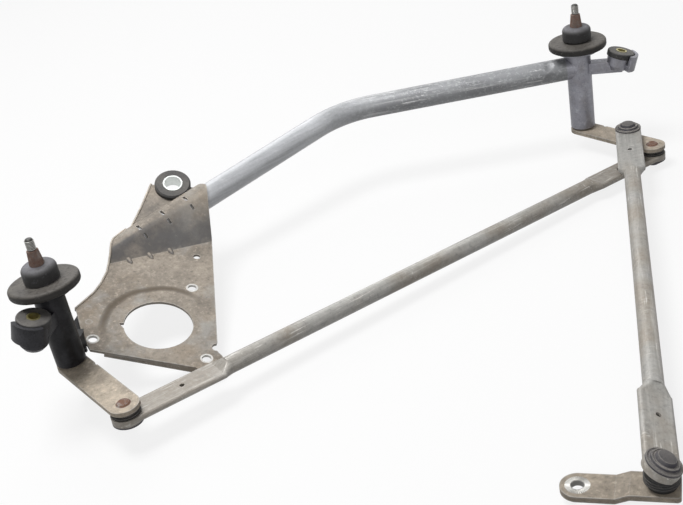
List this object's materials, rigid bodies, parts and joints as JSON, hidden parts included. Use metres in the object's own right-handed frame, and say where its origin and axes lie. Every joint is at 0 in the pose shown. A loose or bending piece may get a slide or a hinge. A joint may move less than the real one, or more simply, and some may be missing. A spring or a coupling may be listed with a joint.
{
  "type": "windscreen wiper linkage",
  "caption": "Windscreen wiper linkage: a bent tube frame with a pressed motor bracket and cast pivot housings, shafts on levers, a long link, and a drive link with its motor crank.",
  "frame": {"origin": "on the left wiper shaft's axis, at the foot of its arm thread, where the arm's cone seat ends", "axes": "+Z along the wiper shafts toward their threads, +X from the left shaft to the right shaft, +Y away from the levers"},
  "size_m": [0.7237, 0.6278, 0.1659],
  "materials": {
    "tube_steel": "galvanised, scuffed and streaked",
    "bracket_steel": "zinc phosphate, worn",
    "lever_steel": "zinc phosphate, worn",
    "link_steel": "galvanised, dull and streaked",
    "dark_casting": "dark painted casting",
    "grey_casting": "bare die casting, dull",
    "bush_bronze": "sintered bronze",
    "seal_foam": "closed-cell foam, dusty",
    "grommet_rubber": "black moulded rubber",
    "bright_zinc": "bright zinc plate",
    "yellow_zinc": "yellow passivated zinc",
    "shaft_steel": "bare steel with surface rust",
    "stud_steel": "bare steel with surface rust",
    "cap_rubber": "dusty moulded rubber",
    "socket_plastic": "dark moulded plastic"
  },
  "bodies": {
    "frame": {"frame_tube": "tube_steel", "motor_bracket": "bracket_steel", "left_pivot_housing": "dark_casting", "right_pivot_housing": "grey_casting", "housing_rivets": "bracket_steel", "left_upper_bush": "bush_bronze", "left_lower_bush": "bush_bronze", "right_upper_bush": "bush_bronze", "right_lower_bush": "bush_bronze", "left_seal_ring": "seal_foam", "right_seal_ring": "seal_foam", "left_mount_grommet": "grommet_rubber", "right_mount_grommet": "grommet_rubber", "bracket_mount_grommet": "grommet_rubber", "left_mount_sleeve": "yellow_zinc", "right_mount_sleeve": "yellow_zinc", "bracket_mount_sleeve": "bright_zinc"},
    "left_arm": {"left_wiper_shaft": "shaft_steel", "left_dust_cap": "cap_rubber", "left_neck_washer": "bright_zinc", "left_retaining_clip": "bright_zinc", "left_thrust_washer": "bright_zinc", "left_lever": "lever_steel", "left_ball_stud": "stud_steel"},
    "right_arm": {"right_wiper_shaft": "shaft_steel", "right_dust_cap": "cap_rubber", "right_neck_washer": "bright_zinc", "right_retaining_clip": "bright_zinc", "right_thrust_washer": "bright_zinc", "right_lever": "lever_steel", "right_ball_stud": "stud_steel", "drive_ball_stud": "stud_steel"},
    "long_link": {"long_link_tube": "link_steel", "long_link_left_socket": "socket_plastic", "long_link_right_socket": "socket_plastic", "long_link_left_boot": "grommet_rubber", "long_link_right_boot": "grommet_rubber"},
    "drive_link": {"drive_link_tube": "link_steel", "drive_link_upper_socket": "socket_plastic", "drive_link_crank_socket": "socket_plastic", "drive_link_upper_boot": "grommet_rubber", "drive_link_crank_boot": "grommet_rubber"},
    "crank": {"motor_crank": "lever_steel", "crank_ball_stud": "stud_steel"}
  },
  "joints": [
    {"name": "right_pivot", "type": "hinge", "parent": "frame", "child": "right_arm", "pos_m": [0.63, 0, -0.1327], "axis": [0, 0, 1], "range_deg": [-45, 35]},
    {"name": "left_pivot", "type": "hinge", "parent": "frame", "child": "left_arm", "pos_m": [0, 0, -0.1147], "axis": [0, 0, 1], "range_deg": [-45, 35]},
    {"name": "long_link_swing", "type": "hinge", "parent": "left_arm", "child": "long_link", "pos_m": [0.00656, -0.09377, -0.1272], "axis": [0, 0, 1], "range_deg": [-35, 45]},
    {"name": "drive_link_swing", "type": "hinge", "parent": "right_arm", "child": "drive_link", "pos_m": [0.6344, -0.06285, -0.1242], "axis": [0, 0, 1], "range_deg": [-35, 45]},
    {"name": "crank_turn", "type": "hinge", "parent": "drive_link", "child": "crank", "pos_m": [0.24572, -0.44346, -0.1242], "axis": [0, 0, 1], "continuous": true}
  ],
  "couplings": [
    {"joint": "left_pivot", "follows": "right_pivot", "ratio": 1},
    {"joint": "long_link_swing", "follows": "right_pivot", "ratio": -1},
    {"joint": "drive_link_swing", "follows": "right_pivot", "ratio": -1}
  ]
}
